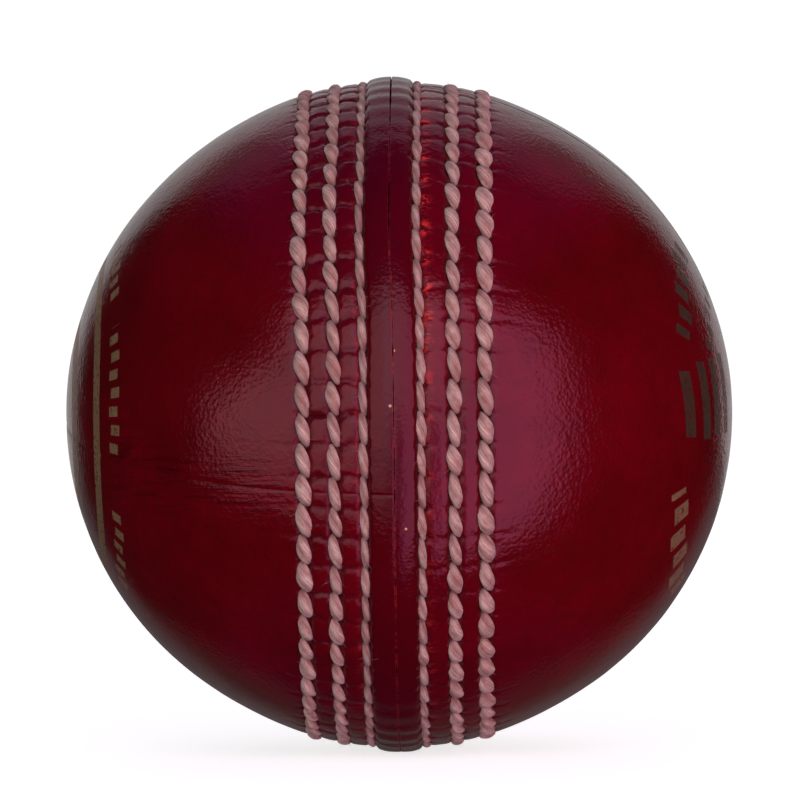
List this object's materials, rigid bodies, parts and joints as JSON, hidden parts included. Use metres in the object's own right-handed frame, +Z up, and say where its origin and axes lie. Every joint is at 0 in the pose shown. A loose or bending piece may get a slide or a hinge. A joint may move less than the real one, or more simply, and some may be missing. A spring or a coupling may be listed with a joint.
{
  "type": "cricket ball",
  "caption": "Red leather cricket ball: four leather quarters hand-stitched with a proud seam round a cork and yarn centre.",
  "frame": {"origin": "centre of the ball", "axes": "+X along the seam's axis through the right cheek, +Z up, the seam is a ring in the YZ plane; the pictured side faces -Y"},
  "size_m": [0.072, 0.0728, 0.0728],
  "materials": {
    "red_leather": "deep red dyed, waxed and polished hide, glossy with a fine grain",
    "seam_thread": "twisted waxed linen, off-white stained pink by the dye, matt",
    "composite_cork": "pressed cork granules and rubber, matt",
    "sheet_cork": "natural sheet cork, matt",
    "worsted_yarn": "undyed worsted wool yarn, tightly wound",
    "lining_leather": "thin undyed split leather, matt",
    "inside_thread": "twisted linen, undyed"
  },
  "bodies": {
    "root": {"cork_nucleus": "composite_cork", "inner_yarn_winding": "worsted_yarn", "inner_cork_slivers": "sheet_cork", "middle_yarn_winding": "worsted_yarn", "outer_cork_slivers": "sheet_cork", "outer_yarn_winding": "worsted_yarn", "left_upper_quarter": "red_leather", "left_lower_quarter": "red_leather", "right_rear_quarter": "red_leather", "right_front_quarter": "red_leather", "left_lining_strip": "lining_leather", "right_lining_strip": "lining_leather", "left_quarter_seam_thread": "inside_thread", "right_quarter_seam_thread": "inside_thread", "closing_thread_a": "seam_thread", "closing_thread_b": "seam_thread", "left_middle_thread_a": "seam_thread", "left_middle_thread_b": "seam_thread", "left_outer_thread_a": "seam_thread", "left_outer_thread_b": "seam_thread", "right_middle_thread_a": "seam_thread", "right_middle_thread_b": "seam_thread", "right_outer_thread_a": "seam_thread", "right_outer_thread_b": "seam_thread"}
  },
  "joints": []
}
